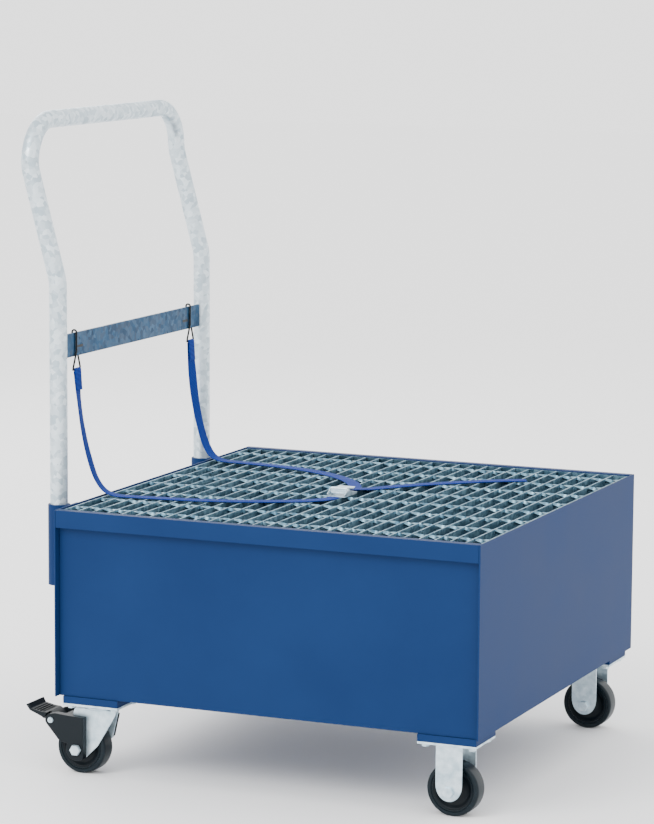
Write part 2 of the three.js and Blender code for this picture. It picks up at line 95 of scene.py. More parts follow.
def makeStudio():
    world = bpy.data.worlds.new("studio")
    bpy.context.scene.world = world
    world.use_nodes = True
    sky = world.node_tree.nodes["Background"]
    sky.inputs["Color"].default_value = linear(studio["sky"])
    sky.inputs["Strength"].default_value = studio["skyStrength"]
    middle = (0, 0, 0.6)
    softLight("key", (-1.5, -4.5, 4.0), middle, studio["key"], 2.5)
    softLight("fill", (4.0, -2.5, 2.5), middle, studio["fill"], 3.0)
    softLight("rim", (-3.0, 3.5, 3.0), middle, studio["rim"], 2.0)
    bpy.ops.mesh.primitive_plane_add(size=40, location=(0, 0, 0))
    floor = bpy.context.active_object
    floor.name = "floor"
    pale = bpy.data.materials.new("matt studio floor")
    pale.use_nodes = True
    shader = pale.node_tree.nodes["Principled BSDF"]
    shader.inputs["Base Color"].default_value = linear(studio["floor"])
    shader.inputs["Roughness"].default_value = 0.9
    floor.data.materials.append(pale)


makeCamera()
makeStudio()
print("camera and studio")


# small helpers for the materials
def addNode(material, kind, values=None, links=None, **settings):
    node = material.node_tree.nodes.new(kind)
    for name, value in settings.items():
        setattr(node, name, value)
    for name, value in (values or {}).items():
        node.inputs[name].default_value = value
    for name, (source, output) in (links or {}).items():
        material.node_tree.links.new(source.outputs[output], node.inputs[name])
    return node


def newMaterial(name, metallic, roughness, colour, **more):
    material = bpy.data.materials.new(name)
    material.use_nodes = True
    shader = material.node_tree.nodes["Principled BSDF"]
    shader.inputs["Base Color"].default_value = linear(colour)
    shader.inputs["Metallic"].default_value = metallic
    shader.inputs["Roughness"].default_value = roughness
    for socket, value in more.items():
        shader.inputs[socket.replace("_", " ")].default_value = value
    return material, shader


def feed(material, shader, socket, node, output):
    material.node_tree.links.new(node.outputs[output], shader.inputs[socket])


def mixColours(material, factor, output, low, high, start=0.3, stop=0.7):
    ramp = addNode(material, "ShaderNodeValToRGB", links={"Fac": (factor, output)})
    ramp.color_ramp.elements[0].position = start
    ramp.color_ramp.elements[1].position = stop
    ramp.color_ramp.elements[0].color = linear(low)
    ramp.color_ramp.elements[1].color = linear(high)
    return ramp


def spread(material, factor, output, low, high):   # a 0 to 1 pattern as a range of roughness
    return addNode(material, "ShaderNodeMapRange", {"To Min": low, "To Max": high},
                   {"Value": (factor, output)})


def bump(material, shader, height, output, depth, strength=1.0):
    node = addNode(material, "ShaderNodeBump", {"Strength": strength, "Distance": depth},
                   {"Height": (height, output)})
    feed(material, shader, "Normal", node, "Normal")


def perMetre(sizeMm):   # a texture scale from a real size
    return 1000 / sizeMm


# powder-coated steel: satin dark blue with a fine orange peel, very slightly paler in broad clouds
coat = {"base": "#122a52", "pale": "#152e57", "peelMm": 1.6, "cloudMm": 180, "roughness": (0.42, 0.54)}


def powderCoat():
    material, shader = newMaterial("powder coated steel", 0.0, 0.42, coat["base"], Specular_IOR_Level=0.06)
    place = addNode(material, "ShaderNodeTexCoord")
    cloud = addNode(material, "ShaderNodeTexNoise", {"Scale": perMetre(coat["cloudMm"]), "Detail": 5},
                    {"Vector": (place, "Object")})
    peel = addNode(material, "ShaderNodeTexNoise", {"Scale": perMetre(coat["peelMm"]), "Detail": 1},
                   {"Vector": (place, "Object")})
    ramp = mixColours(material, cloud, "Fac", coat["base"], coat["pale"])
    feed(material, shader, "Base Color", ramp, "Color")
    feed(material, shader, "Roughness", spread(material, cloud, "Fac", *coat["roughness"]), "Result")
    bump(material, shader, peel, "Fac", 0.00012, 0.5)
    return material


# hot-dip galvanised steel: dull grey-blue zinc with patches of crystal a few millimetres across
dip = {"dark": "#44687c", "light": "#7da0b0", "crystalMm": 9, "grainMm": 1.2, "roughness": (0.3, 0.55)}


def galvanised(name, dark, light):
    material, shader = newMaterial(name, 0.75, 0.42, light)
    place = addNode(material, "ShaderNodeTexCoord")
    crystal = addNode(material, "ShaderNodeTexVoronoi", {"Scale": perMetre(dip["crystalMm"])},
                      {"Vector": (place, "Object")})
    shade = addNode(material, "ShaderNodeSeparateColor", links={"Color": (crystal, "Color")})
    grain = addNode(material, "ShaderNodeTexNoise", {"Scale": perMetre(dip["grainMm"]), "Detail": 3},
                    {"Vector": (place, "Object")})
    feed(material, shader, "Base Color", mixColours(material, shade, "Red", dark, light, 0.0, 1.0), "Color")
    feed(material, shader, "Roughness", spread(material, shade, "Green", *dip["roughness"]), "Result")
    bump(material, shader, grain, "Fac", 0.0001, 0.4)
    return material


# bright zinc plate: thin electroplated zinc over pressed steel, bright with soft cloudy patches
plating = {"dark": "#a9c0cc", "light": "#dcebf3", "cloudMm": 14, "grainMm": 0.8, "roughness": (0.24, 0.42)}


def zincPlate():
    material, shader = newMaterial("bright zinc plate", 0.7, 0.32, plating["light"])
    place = addNode(material, "ShaderNodeTexCoord")
    cloud = addNode(material, "ShaderNodeTexNoise", {"Scale": perMetre(plating["cloudMm"]), "Detail": 6},
                    {"Vector": (place, "Object")})
    grain = addNode(material, "ShaderNodeTexNoise", {"Scale": perMetre(plating["grainMm"]), "Detail": 2},
                    {"Vector": (place, "Object")})
    ramp = mixColours(material, cloud, "Fac", plating["dark"], plating["light"])
    feed(material, shader, "Base Color", ramp, "Color")
    feed(material, shader, "Roughness", spread(material, cloud, "Fac", *plating["roughness"]), "Result")
    bump(material, shader, grain, "Fac", 0.00008, 0.4)
    return material


# moulded rubber and nylon: near black, faintly blue-green where it catches the light
moulded = {"rubber": ("#050f15", "#0b1b23"), "nylon": ("#02090e", "#051119"), "wire": ("#07090b", "#101418")}


def blackMoulded(name, colours, roughness, grainMm, depth):
    material, shader = newMaterial(name, 0.0, roughness, colours[0], Specular_IOR_Level=0.2)
    place = addNode(material, "ShaderNodeTexCoord")
    grain = addNode(material, "ShaderNodeTexNoise", {"Scale": perMetre(grainMm), "Detail": 4},
                    {"Vector": (place, "Object")})
    feed(material, shader, "Base Color", mixColours(material, grain, "Fac", *colours), "Color")
    feed(material, shader, "Roughness",
         spread(material, grain, "Fac", roughness - 0.08, roughness + 0.08), "Result")
    bump(material, shader, grain, "Fac", depth, 0.4)
    return material


# polyester webbing: royal blue, herringbone ribs along its length; the real 0.6 mm yarns are drawn at 1.6 mm
weave = {"deep": "#021f66", "bright": "#073a92", "ribMm": 1.6, "pickMm": 2.0, "depth": 0.00025}


def webbingCloth():
    material, shader = newMaterial("woven polyester webbing", 0.0, 0.72, weave["deep"],
                                   Sheen_Weight=0.02, Specular_IOR_Level=0.08)
    place = addNode(material, "ShaderNodeUVMap")
    stretch = addNode(material, "ShaderNodeMapping", {"Rotation": (0, 0, math.radians(45))},
                      {"Vector": (place, "UV")})
    ribs = addNode(material, "ShaderNodeTexWave", {"Scale": perMetre(weave["ribMm"]) / (2 * math.pi)},
                   {"Vector": (stretch, "Vector")}, bands_direction="X")
    picks = addNode(material, "ShaderNodeTexWave", {"Scale": perMetre(weave["pickMm"]) / (2 * math.pi)},
                    {"Vector": (stretch, "Vector")}, bands_direction="Y")
    both = addNode(material, "ShaderNodeMath", links={0: (ribs, "Fac"), 1: (picks, "Fac")},
                   operation="MULTIPLY")
    ramp = mixColours(material, both, "Value", weave["deep"], weave["bright"], 0.0, 0.8)
    feed(material, shader, "Base Color", ramp, "Color")
    bump(material, shader, both, "Value", weave["depth"], 0.8)
    return material


bluePaint = powderCoat()
dullZinc = galvanised("hot dip galvanised steel", dip["dark"], dip["light"])
tubeZinc = galvanised("galvanised tube", "#a9bac4", "#dbe6ec")
plateZinc = galvanised("galvanised flat bar", "#06304e", "#154a6e")
brightZinc = zincPlate()
blackRubber = blackMoulded("moulded rubber", moulded["rubber"], 0.38, 2.5, 0.00010)
blackNylon = blackMoulded("moulded nylon", moulded["nylon"], 0.48, 1.0, 0.00012)
blackWire = blackMoulded("dip coated wire", moulded["wire"], 0.35, 3.0, 0.00008)
webbing = webbingCloth()
print("materials")


class Form:   # gathers closed shapes, in millimetres from the corner, into one mesh
    def __init__(self):
        self.points = []
        self.faces = []

    def add(self, points, faces):
        start = len(self.points)
        self.points += [at(*p) for p in points]
        self.faces += [[start + i for i in face] for face in faces]
        return self

    def rings(self, rings, closedLoop=False):   # the ends are capped unless the rings close into a loop
        count = len(rings[0])
        faces = []
        for i in range(len(rings) if closedLoop else len(rings) - 1):
            a, b = i * count, ((i + 1) % len(rings)) * count
            for k in range(count):
                n = (k + 1) % count
                faces.append([a + k, a + n, b + n, b + k])
        if not closedLoop:
            faces.append(list(range(count))[::-1])
            faces.append([(len(rings) - 1) * count + k for k in range(count)])
        return self.add([p for ring in rings for p in ring], faces)

    def box(self, low, high):
        (x0, y0, z0), (x1, y1, z1) = low, high
        ring = [(x0, y0), (x1, y0), (x1, y1), (x0, y1)]
        return self.rings([[(x, y, z) for x, y in ring] for z in (z0, z1)])

    def sideways(self, outline, y0, y1):   # an outline in X and Z, between two places along Y
        return self.rings([[(x, y, z) for x, z in outline] for y in (y0, y1)])

    def endways(self, outline, x0, x1):   # an outline in Y and Z, between two places along X
        return self.rings([[(x, y, z) for y, z in outline] for x in (x0, x1)])

    def turned(self, profile, centre, axis="Y", segments=72):   # a closed profile of radius and height
        rings = []
        for i in range(segments):
            a = 2 * math.pi * i / segments
            c, s = math.cos(a), math.sin(a)
            if axis == "Y":
                rings.append([(centre[0] + r * c, centre[1] + h, centre[2] + r * s) for r, h in profile])
            elif axis == "Z":
                rings.append([(centre[0] + r * c, centre[1] + r * s, centre[2] + h) for r, h in profile])
            else:
                rings.append([(centre[0] + h, centre[1] + r * c, centre[2] + r * s) for r, h in profile])
        return self.rings(rings, closedLoop=True)

    def swept(self, path, section, twist=0.0):   # a section carried along a path
        path = [Vector(p) for p in path]
        heading = (path[1] - path[0]).normalized()
        side = heading.orthogonal().normalized()
        rings = []
        for i, p in enumerate(path):
            ahead = path[min(i + 1, len(path) - 1)] - path[max(i - 1, 0)]
            ahead.normalize()
            side = heading.rotation_difference(ahead) @ side
            heading = ahead
            up = heading.cross(side)
            turn = twist * i
            a, b = side * math.cos(turn) + up * math.sin(turn), up * math.cos(turn) - side * math.sin(turn)
            offsets = section(i) if callable(section) else section
            rings.append([tuple(p + a * u + b * v) for u, v in offsets])
        return self.rings(rings)

    def make(self, name):
        mesh = bpy.data.meshes.new(name)
        mesh.from_pydata(self.points, [], self.faces)
        work = bmesh.new()
        work.from_mesh(mesh)
        bmesh.ops.remove_doubles(work, verts=work.verts, dist=1e-6)
        bmesh.ops.recalc_face_normals(work, faces=work.faces)
        work.to_mesh(mesh)
        work.free()
        piece = bpy.data.objects.new(name, mesh)
        bpy.context.scene.collection.objects.link(piece)
        return piece


def circle(radius, count):
    return [(radius * math.cos(2 * math.pi * i / count), radius * math.sin(2 * math.pi * i / count))
            for i in range(count)]


def arc(cx, cz, radius, start, stop, count):   # degrees
    steps = [math.radians(start + (stop - start) * i / count) for i in range(count + 1)]
    return [(cx + radius * math.cos(a), cz + radius * math.sin(a)) for a in steps]


def bezier(a, b, c, d, count):
    found = []
    for i in range(1, count + 1):
        t = i / count
        w = ((1 - t) ** 3, 3 * t * (1 - t) ** 2, 3 * t * t * (1 - t), t ** 3)
        found.append(tuple(sum(wi * p[k] for wi, p in zip(w, (a, b, c, d))) for k in (0, 1)))
    return found


def bentPath(corners, radii, step):   # straight runs joined by round bends
    corners = [Vector(c) for c in corners]
    path = [corners[0]]
    for i, radius in enumerate(radii):
        into = (corners[i + 1] - corners[i]).normalized()
        out = (corners[i + 2] - corners[i + 1]).normalized()
        turn = into.angle(out)
        centre = corners[i + 1] + (out - into).normalized() * radius / math.cos(turn / 2)
        start = corners[i + 1] - into * radius * math.tan(turn / 2)
        count = max(4, round(math.degrees(turn) / step))
        for k in range(count + 1):
            a = turn * k / count
            path.append(centre + (start - centre) * math.cos(a) + into * radius * math.sin(a))
    return path + [corners[-1]]


def rounded(piece, width, segments=3, weld=False):   # eased edges, as rolled, cut or moulded pieces have
    if weld:
        join = piece.modifiers.new("joined corners", "WELD")
        join.merge_threshold = 0.00001
    ease = piece.modifiers.new("eased edges", "BEVEL")
    ease.width = width * mm
    ease.segments = segments
    ease.limit_method = "ANGLE"
    ease.angle_limit = math.radians(32)
    ease.harden_normals = True


def dress(piece, material, body, nodes=(), ease=0.0, smoothAngle=32):
    piece.data.materials.append(material)
    piece.data.shade_smooth()
    if ease:
        rounded(piece, ease)
    else:
        piece.data.set_sharp_from_angle(angle=math.radians(smoothAngle))
    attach(piece, body)
    if nodes:
        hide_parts(*nodes)
    return piece


def keepNode(name, material, ease):   # a CAD node that stays, with eased edges and its real finish
    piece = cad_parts[name]
    piece.data.materials.clear()
    piece.data.materials.append(material)
    rounded(piece, ease, weld=True)


# strap: two lengths and a tail of webbing, with the buckle between them
# reach is how many rings either way set which way the webbing's width faces; lie is its middle on the grating
web = {"width": 25.4, "thickness": 1.7, "edge": 0.75, "step": 2.5, "reach": 12, "lie": 509.2}
strapShort = [
    (-0.04735, 0.185, 0.7479), (-0.0456, 0.185, 0.725), (-0.0425, 0.1855, 0.69), (-0.036, 0.187, 0.64),
    (-0.024, 0.189, 0.585), (-0.008, 0.191, 0.54), (0.008, 0.194, 0.519), (0.025, 0.197, 0.5115),
    (0.045, 0.2, 0.5092), (0.1, 0.207, 0.5092), (0.15, 0.213, 0.5092), (0.2, 0.222, 0.5092),
    (0.25, 0.237, 0.5092), (0.3, 0.256, 0.5092), (0.345, 0.279, 0.5092), (0.382, 0.303, 0.5092),
    (0.405, 0.327, 0.5092), (0.413, 0.345, 0.5092), (0.415, 0.362, 0.5092),
]
strapLong = [
    (-0.04735, 0.685, 0.7479), (-0.0456, 0.685, 0.725), (-0.0425, 0.6845, 0.69), (-0.036, 0.683, 0.64),
    (-0.024, 0.681, 0.585), (-0.008, 0.679, 0.54), (0.008, 0.676, 0.519), (0.025, 0.674, 0.5115),
    (0.045, 0.672, 0.5092), (0.1, 0.668, 0.5092), (0.15, 0.661, 0.5092), (0.2, 0.65, 0.5092),
    (0.245, 0.634, 0.5092), (0.29, 0.612, 0.5092), (0.327, 0.586, 0.5092), (0.36, 0.556, 0.5092),
    (0.385, 0.524, 0.5092), (0.403, 0.49, 0.5092), (0.4125, 0.455, 0.5092), (0.4155, 0.43, 0.5092),
]
strapTail = [
    (0.418, 0.429, 0.5145), (0.422, 0.44, 0.5138), (0.428, 0.455, 0.5122), (0.437, 0.473, 0.5102),
    (0.45, 0.497, 0.5092), (0.466, 0.52, 0.5092), (0.484, 0.543, 0.5092), (0.505, 0.566, 0.5092),
    (0.527, 0.589, 0.5092), (0.55, 0.611, 0.5092), (0.573, 0.633, 0.5092), (0.597, 0.654, 0.5092),
    (0.623, 0.674, 0.5092), (0.65, 0.692, 0.5092), (0.678, 0.708, 0.5092),
]


def smoothRoute(points, lowest):   # a centripetal curve through the points, sampled evenly
    points = [Vector(p) * 1000 for p in points]
    padded = [points[0] * 2 - points[1]] + points + [points[-1] * 2 - points[-2]]
    fine = []
    for i in range(len(points) - 1):
        p = padded[i:i + 4]
        t = [0.0]
        for k in range(3):
            t.append(t[-1] + math.sqrt((p[k + 1] - p[k]).length))
        for k in range(24):
            s = t[1] + (t[2] - t[1]) * k / 24
            a = [(p[j] * (t[j + 1] - s) + p[j + 1] * (s - t[j])) / (t[j + 1] - t[j]) for j in range(3)]
            b = [(a[j] * (t[j + 2] - s) + a[j + 1] * (s - t[j])) / (t[j + 2] - t[j]) for j in range(2)]
            fine.append((b[0] * (t[2] - s) + b[1] * (s - t[1])) / (t[2] - t[1]))
    fine.append(points[-1])
    for p in fine:
        p.z = max(p.z, lowest)
    return fine


def evenly(path, step):
    total = sum((b - a).length for a, b in zip(path, path[1:]))
    count = max(2, round(total / step))
    found, along, i = [path[0]], 0.0, 0
    for k in range(1, count):
        want = total * k / count
        while along + (path[i + 1] - path[i]).length < want:
            along += (path[i + 1] - path[i]).length
            i += 1
        span = path[i + 1] - path[i]
        found.append(path[i] + span * ((want - along) / span.length))
    return found + [path[-1]], total


def webSection():   # across and up, with soft selvedges
    half, thick, edge = web["width"] / 2, web["thickness"] / 2, web["edge"] / 2
    top = [(-half, edge), (-half + 1.2, thick), (-half / 2, thick), (0, thick), (half / 2, thick),
           (half - 1.2, thick), (half, edge)]
    return top + [(a, -b) for a, b in reversed(top)]


strapFold = {"eyeX": -47.35, "eyeZ": 750, "reach": 2.95, "start": 200, "step": -20, "rings": 11,
             "flap": [(3.4, 742, 0), (4.0, 733, 0), (4.7, 722, 0.1), (5.6, 711, 0.1)]}


def foldedEnd():   # round the hook's eye and down the front, as middle and facing of each ring
    v = strapFold
    found = []
    for i in range(v["rings"]):
        a = math.radians(v["start"] + v["step"] * i)
        found.append((v["eyeX"] + v["reach"] * math.cos(a), v["eyeZ"] + v["reach"] * math.sin(a),
                      math.cos(a), math.sin(a)))
    return found + [(v["eyeX"] + out, z, 1, rise) for out, z, rise in v["flap"]]


def makeWebbing(name, route, body, node, fold=None):
    path, total = evenly(smoothRoute(route, web["lie"]), web["step"])
    section = webSection()
    form = Form()
    rings = []
    for i, p in enumerate(path):
        tangent = (path[min(i + 1, len(path) - 1)] - path[max(i - 1, 0)]).normalized()
        run = path[min(i + web["reach"], len(path) - 1)] - path[max(i - web["reach"], 0)]
        across = Vector((-run.y, run.x, 0)).normalized()
        up = tangent.cross(across).normalized()
        rings.append([tuple(p + across * a + up * b) for a, b in section])
    form.rings(rings)
    if fold:
        form.rings([[(x + b * c, fold + a, z + b * s) for a, b in section] for x, z, c, s in foldedEnd()])
    piece = form.make(name)
    layer = piece.data.uv_layers.new(name="UVMap")
    count = len(section)
    for polygon in piece.data.polygons:
        for loop in polygon.loop_indices:
            vertex = piece.data.loops[loop].vertex_index
            layer.data[loop].uv = (section[vertex % count][0] * mm, (vertex // count) * web["step"] * mm)
    dress(piece, webbing, body, [node], smoothAngle=60)
    print(f"{name} {total / 1000:.3f} m")
    return piece, [tuple(corner + p * mm) for p in path], total / 1000


shortPiece, shortPath, shortLength = makeWebbing(
    "strap_webbing_short", strapShort, "chassis", "strap_short", hookY)
longPiece, longPath, longLength = makeWebbing(
    "strap_webbing_long", strapLong, "chassis", "strap_long", sumpWidth - hookY)
tailPiece, tailPath, tailLength = makeWebbing("strap_webbing_tail", strapTail, "grating", "strap_tail")

buckle = {"x": 415, "near": 367.5, "far": 426.5, "floor": 508.3, "inner": 17.2, "outer": 19,
          "pinY": 385, "pinZ": 519, "pin": 2.5, "cam": 6.6, "teeth": 9}


def makeBuckle():
    x, floor, pinY = buckle["x"], buckle["floor"], buckle["pinY"]
    cheek = [(buckle["near"], floor), (buckle["far"], floor), (buckle["far"], floor + 4),
             (pinY + 20, floor + 8)]
    cheek += arc(pinY, floor + 7.5, 8, 25, 155, 8) + [(buckle["near"], floor + 6)]
    form = Form()
    form.box((x - buckle["inner"], buckle["near"], floor), (x + buckle["inner"], buckle["far"], floor + 1.6))
    form.endways(cheek, x - buckle["outer"], x - buckle["inner"])
    form.endways(cheek, x + buckle["inner"], x + buckle["outer"])
    dress(form.make("buckle_body"), brightZinc, "grating", ["buckle_frame"], 0.4)
    pin = Form()
    end = buckle["outer"] + 1
    r = buckle["pin"]
    pin.turned([(0, -end), (r - 0.6, -end), (r, -end + 0.6), (r, end - 0.6), (r - 0.6, end), (0, end)],
               (x, pinY, buckle["pinZ"]), "X", 32)
    dress(pin.make("buckle_axle"), brightZinc, "grating", ["buckle_pin"])
    lever = Form()
    half = buckle["inner"] - 0.6
    rim = []
    for i in range(buckle["teeth"] * 6):   # serrated cam that grips the webbing
        a = 2 * math.pi * i / (buckle["teeth"] * 6)
        rim.append((pinY + (buckle["cam"] - 0.5 * (i % 3)) * math.cos(a),
                    buckle["pinZ"] + (buckle["cam"] - 0.5 * (i % 3)) * math.sin(a)))
    lever.endways(rim, x - half, x + half)
    blade = [(pinY, floor + 13.5), (pinY + 31, floor + 10.4), (pinY + 38, floor + 12),
             (pinY + 38, floor + 14), (pinY + 30, floor + 12.6), (pinY, floor + 17)]
    lever.endways(blade, x - half, x + half)
    for i in range(7):   # ribs for the thumb
        y = pinY + 8 + i * 3.2
        lift = 16.2 - (y - pinY) * 0.13
        lever.box((x - half + 3, y, floor + lift - 0.6), (x + half - 3, y + 1.2, floor + lift + 0.7))
    dress(lever.make("buckle_thumb_lever"), brightZinc, "buckle_lever", ["buckle_lever"], 0.25)


makeBuckle()

hookValues = {"wire": 1.8, "front": -47.35, "back": -56.65, "foot": 803, "neck": 785, "crown": 826.1,
              "eyeZ": 750, "half": 16}


def makeHook(side, y):
    v = hookValues
    path = bentPath([
        (v["back"], y, v["foot"]), (v["back"], y, v["crown"]),
        (v["front"], y, v["crown"]), (v["front"], y, v["neck"]),
        (v["front"], y - v["half"], v["eyeZ"]), (v["front"], y + v["half"], v["eyeZ"]),
        (v["front"], y + 6, v["neck"] - 8),
    ], [4.6, 4.6, 8, 4, 4], 8)
    form = Form().swept(path, circle(v["wire"], 20))
    return dress(form.make(f"wire_hook_{side}"), blackWire, "chassis", [f"strap_hook_{side}"])


hooks = {"r": makeHook("r", hookY), "l": makeHook("l", sumpWidth - hookY)}

for piece in (shortPiece, longPiece):
    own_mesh(piece)
print("strap, buckle and hooks")

# handle: one bent tube in two sockets
handle = {"radius": 16.85, "legX": -52, "railX": -110, "legY": 120, "foot": 350, "kinkLow": 925,
          "kinkHigh": 1138, "railZ": 1225, "kink": 100, "corner": 80, "far": 750}
socketValues = {"radius": 21.2, "bore": 17.3, "bottom": 345, "top": 500}


def makeHandle():
    v = handle
    near = [(v["legX"], v["legY"], v["foot"]), (v["legX"], v["legY"], v["kinkLow"]),
            (v["railX"], v["legY"], v["kinkHigh"]), (v["railX"], v["legY"], v["railZ"])]
    far = [(x, v["far"], z) for x, y, z in reversed(near)]
    path = bentPath(near + far, [v["kink"], v["kink"], v["corner"], v["corner"], v["kink"], v["kink"]], 3)
    form = Form().swept(path, circle(v["radius"], 48))
    dress(form.make("push_handle"), tubeZinc, "chassis", ["handle_tube"])


def makeSocket(side, y):
    v = socketValues
    height = v["top"] - v["bottom"]
    form = Form()
    form.turned([(v["bore"], 0), (v["radius"], 0), (v["radius"], height - 0.8), (v["radius"] - 0.8, height),
                 (v["bore"], height)], (handle["legX"], y, v["bottom"]), "Z", 64)
    dress(form.make(f"socket_{side}"), bluePaint, "chassis", [f"handle_socket_{side}"])


# places are X, and how far to each side of the leg's middle
weld = {"places": [(-1.6, 30.6), (-30.5, 19)], "bottom": 352, "step": 2, "rings": 71,
        "radius": 1.7, "uneven": 0.35, "ripple": 1.7}


def makeWelds(side, y):   # uneven beads where a spacer meets the end plate and its socket
    v = weld
    form = Form()
    for x, out in v["places"]:
        for beadY in (y - out, y + out):
            path = [(x, beadY, v["bottom"] + i * v["step"]) for i in range(v["rings"])]
            form.swept(path, lambda i: circle(v["radius"] + v["uneven"] * math.sin(i * v["ripple"]), 8))
    dress(form.make(f"weld_beads_{side}"), bluePaint, "chassis", smoothAngle=60)


slot = {"near": 192, "length": 24, "bottom": 791.5, "top": 796.5, "back": -49.6, "face": -49.3}


def makeSlotShade():   # the strap plate's two slots, as thin dark pieces on its face: painted shade standing in for the dark seen through open slots
    v = slot
    form = Form()
    for y in (v["near"], sumpWidth - v["near"] - v["length"]):
        form.box((v["back"], y, v["bottom"]), (v["face"], y + v["length"], v["top"]))
    # near-black wire coating used here as painted shade in the two slots, which are not cut through the plate
    dress(form.make("strap_plate_slot_shade"), blackWire, "chassis")


makeHandle()
makeWelds("r", handle["legY"])
makeWelds("l", handle["far"])
makeSlotShade()
makeSocket("r", handle["legY"])
makeSocket("l", handle["far"])
print("handle")

# grating: flat bars tied by twisted square rods
deck = {"left": 7, "right": 843, "near": 20, "far": 850, "top": 508, "height": 30, "bar": 3, "gaps": 28,
        "rods": 8, "rodPitch": 104, "rod": 6, "turnMm": 90}


def makeGrating():
    v = deck
    pitch = (v["right"] - v["left"] - v["bar"]) / v["gaps"]
    low, high = v["top"] - v["height"], v["top"]
    bars = Form()
    for i in range(v["gaps"] + 1):
        x = v["left"] + i * pitch
        bars.box((x, v["near"] + v["bar"], low), (x + v["bar"], v["far"] - v["bar"], high))
    for y in (v["near"], v["far"] - v["bar"]):
        bars.box((v["left"], y, low), (v["right"], y + v["bar"], high))
    dress(bars.make("grating_bars"), dullZinc, "grating", ["grating"], 0.3)
    rods = Form()
    half = v["rod"] / 2
    section = [(-half, -half), (half, -half), (half, half), (-half, half)]
    step = 3
    count = int((v["right"] - v["left"] - 4) / step)
    firstRod = (sumpWidth - v["rodPitch"] * (v["rods"] - 1)) / 2
    for i in range(v["rods"]):
        y = firstRod + i * v["rodPitch"]
        path = [(v["left"] + 2 + k * step, y, high - 1 - half) for k in range(count + 1)]
        rods.swept(path, section, 2 * math.pi * step / v["turnMm"])
    dress(rods.make("grating_twisted_rods"), dullZinc, "grating", smoothAngle=50)


makeGrating()
print("grating")

# castors: places from the sump's corner, the axle's height and the top plate's underside
castor = {"swivelX": 68, "fixedX": 785, "inY": 62, "trail": 36, "axle": 50, "plateZ": 136.7,
          "swivelBoss": 18, "fixedBoss": 33}


def bothSides(half):   # a wheel's profile, from its half as radius and distance from the middle
    return [(r, -h) for r, h in half] + [(r, h) for r, h in reversed(half)]


def makeWheel(tag, x, y, boss, body):   # boss is half the length of the hub's middle
    place = (x, y, castor["axle"])
    tyreHalf = [(38.3, 16.6), (39.6, 17), (40.2, 15.8), (41.4, 15.8), (42.2, 17.6), (45.6, 18), (47.6, 17.8),
                (49, 16.6), (49.8, 14.4), (50, 12)]
    tyre = Form().turned(bothSides(tyreHalf), place, segments=96)
    dress(tyre.make(f"tyre_{tag}"), blackRubber, body, [f"wheel_tyre_{tag}"], smoothAngle=40)
    hubHalf = [(6.3, boss), (12.4, boss), (13.6, boss - 1), (15, 12), (17, 10.4), (29, 10), (31.4, 11),
               (34, 15), (36.4, 16.2), (38, 16)]
    hub = Form().turned(bothSides(hubHalf), place, segments=96)
    dress(hub.make(f"hub_{tag}"), blackNylon, body, [f"wheel_hub_{tag}"], smoothAngle=40)


def hexHead(form, centre, direction, across, height):   # a bolt head with its chamfered rim, along Y
    x, y, z = centre
    outer = across / math.sqrt(3)
    rings = []
    for radius, along in ((outer, 0), (outer, height * 0.75), (outer * 0.9, height)):
        rings.append([(x + radius * math.cos(math.pi * k / 3), y + direction * along,
                       z + radius * math.sin(math.pi * k / 3)) for k in range(6)])
    form.rings(rings)


axleBolt = {"radius": 6, "across": 19, "head": 7.5, "nut": 8, "sink": 0.3}


def makeAxle(tag, x, y, headSeat, nutSeat, body):
    v = axleBolt
    form = Form()
    r, z = v["radius"], castor["axle"]
    end = nutSeat + 10
    form.turned([(0, headSeat - 2), (r, headSeat - 2), (r, end - 1), (r - 0.8, end), (0, end)],
                (x, y, z), segments=40)
    hexHead(form, (x, y + headSeat - v["sink"], z), -1, v["across"], v["head"])
    hexHead(form, (x, y + nutSeat + v["sink"], z), 1, v["across"], v["nut"])
    dress(form.make(f"axle_{tag}"), brightZinc, body, [f"axle_bolt_{tag}"], 0.35)


steel = 3   # thickness of the forks' legs
fixedFork = {"half": 25.5, "shoulder": 65, "bottom": 32, "top": 136.4, "inner": 34}
swivelFork = {"inner": 19, "crown": (-46, 27, 127)}


def fixedOutline():
    half, shoulder, bottom = fixedFork["half"], fixedFork["shoulder"], fixedFork["bottom"]
    foot = bezier((-half, shoulder), (-half, 46), (-15, bottom), (0, bottom), 12)
    foot += bezier((0, bottom), (15, bottom), (half, 46), (half, shoulder), 12)
    return [(-half, fixedFork["top"]), (-half, shoulder)] + foot + [(half, fixedFork["top"])]


def makeFork(tag, x, y, near, far, inner, crown, body):   # crown is its two ends along X and its top
    form = Form()
    outer = inner + steel
    form.sideways([(x + a, b) for a, b in near], y - outer, y - inner)
    form.sideways([(x + a, b) for a, b in far], y + inner, y + outer)
    left, right, top = crown
    form.box((x + left, y - outer + 0.5, top - steel), (x + right, y + outer - 0.5, top - 0.1))
    dress(form.make(f"fork_{tag}"), brightZinc, body, [f"castor_fork_{tag}"], 0.7)


def swivelOutline(rightSide):
    shape = [(-46, 127), (-50, 118), (-57, 52)] + arc(-castor["trail"], castor["axle"], 21, 175, 310, 16)
    return shape + rightSide


pivot = {"x": -90, "z": 102.3, "eye": 12}


def housingOutline(rightSide):
    v = pivot
    shape = [(-22, 36)] + rightSide + [(v["x"] + 8, v["z"] + 14), (v["x"], v["z"] + v["eye"])]
    shape += arc(v["x"], v["z"], v["eye"], 100, 216, 12) + [(-72, 64)]
    return shape + arc(-castor["trail"], castor["axle"], 22, 153, 306, 18)


cover = {"near": 38, "far": 30, "inner": 22.3, "bridge": (-70, -54), "bridgeZ": (108, 112.4)}


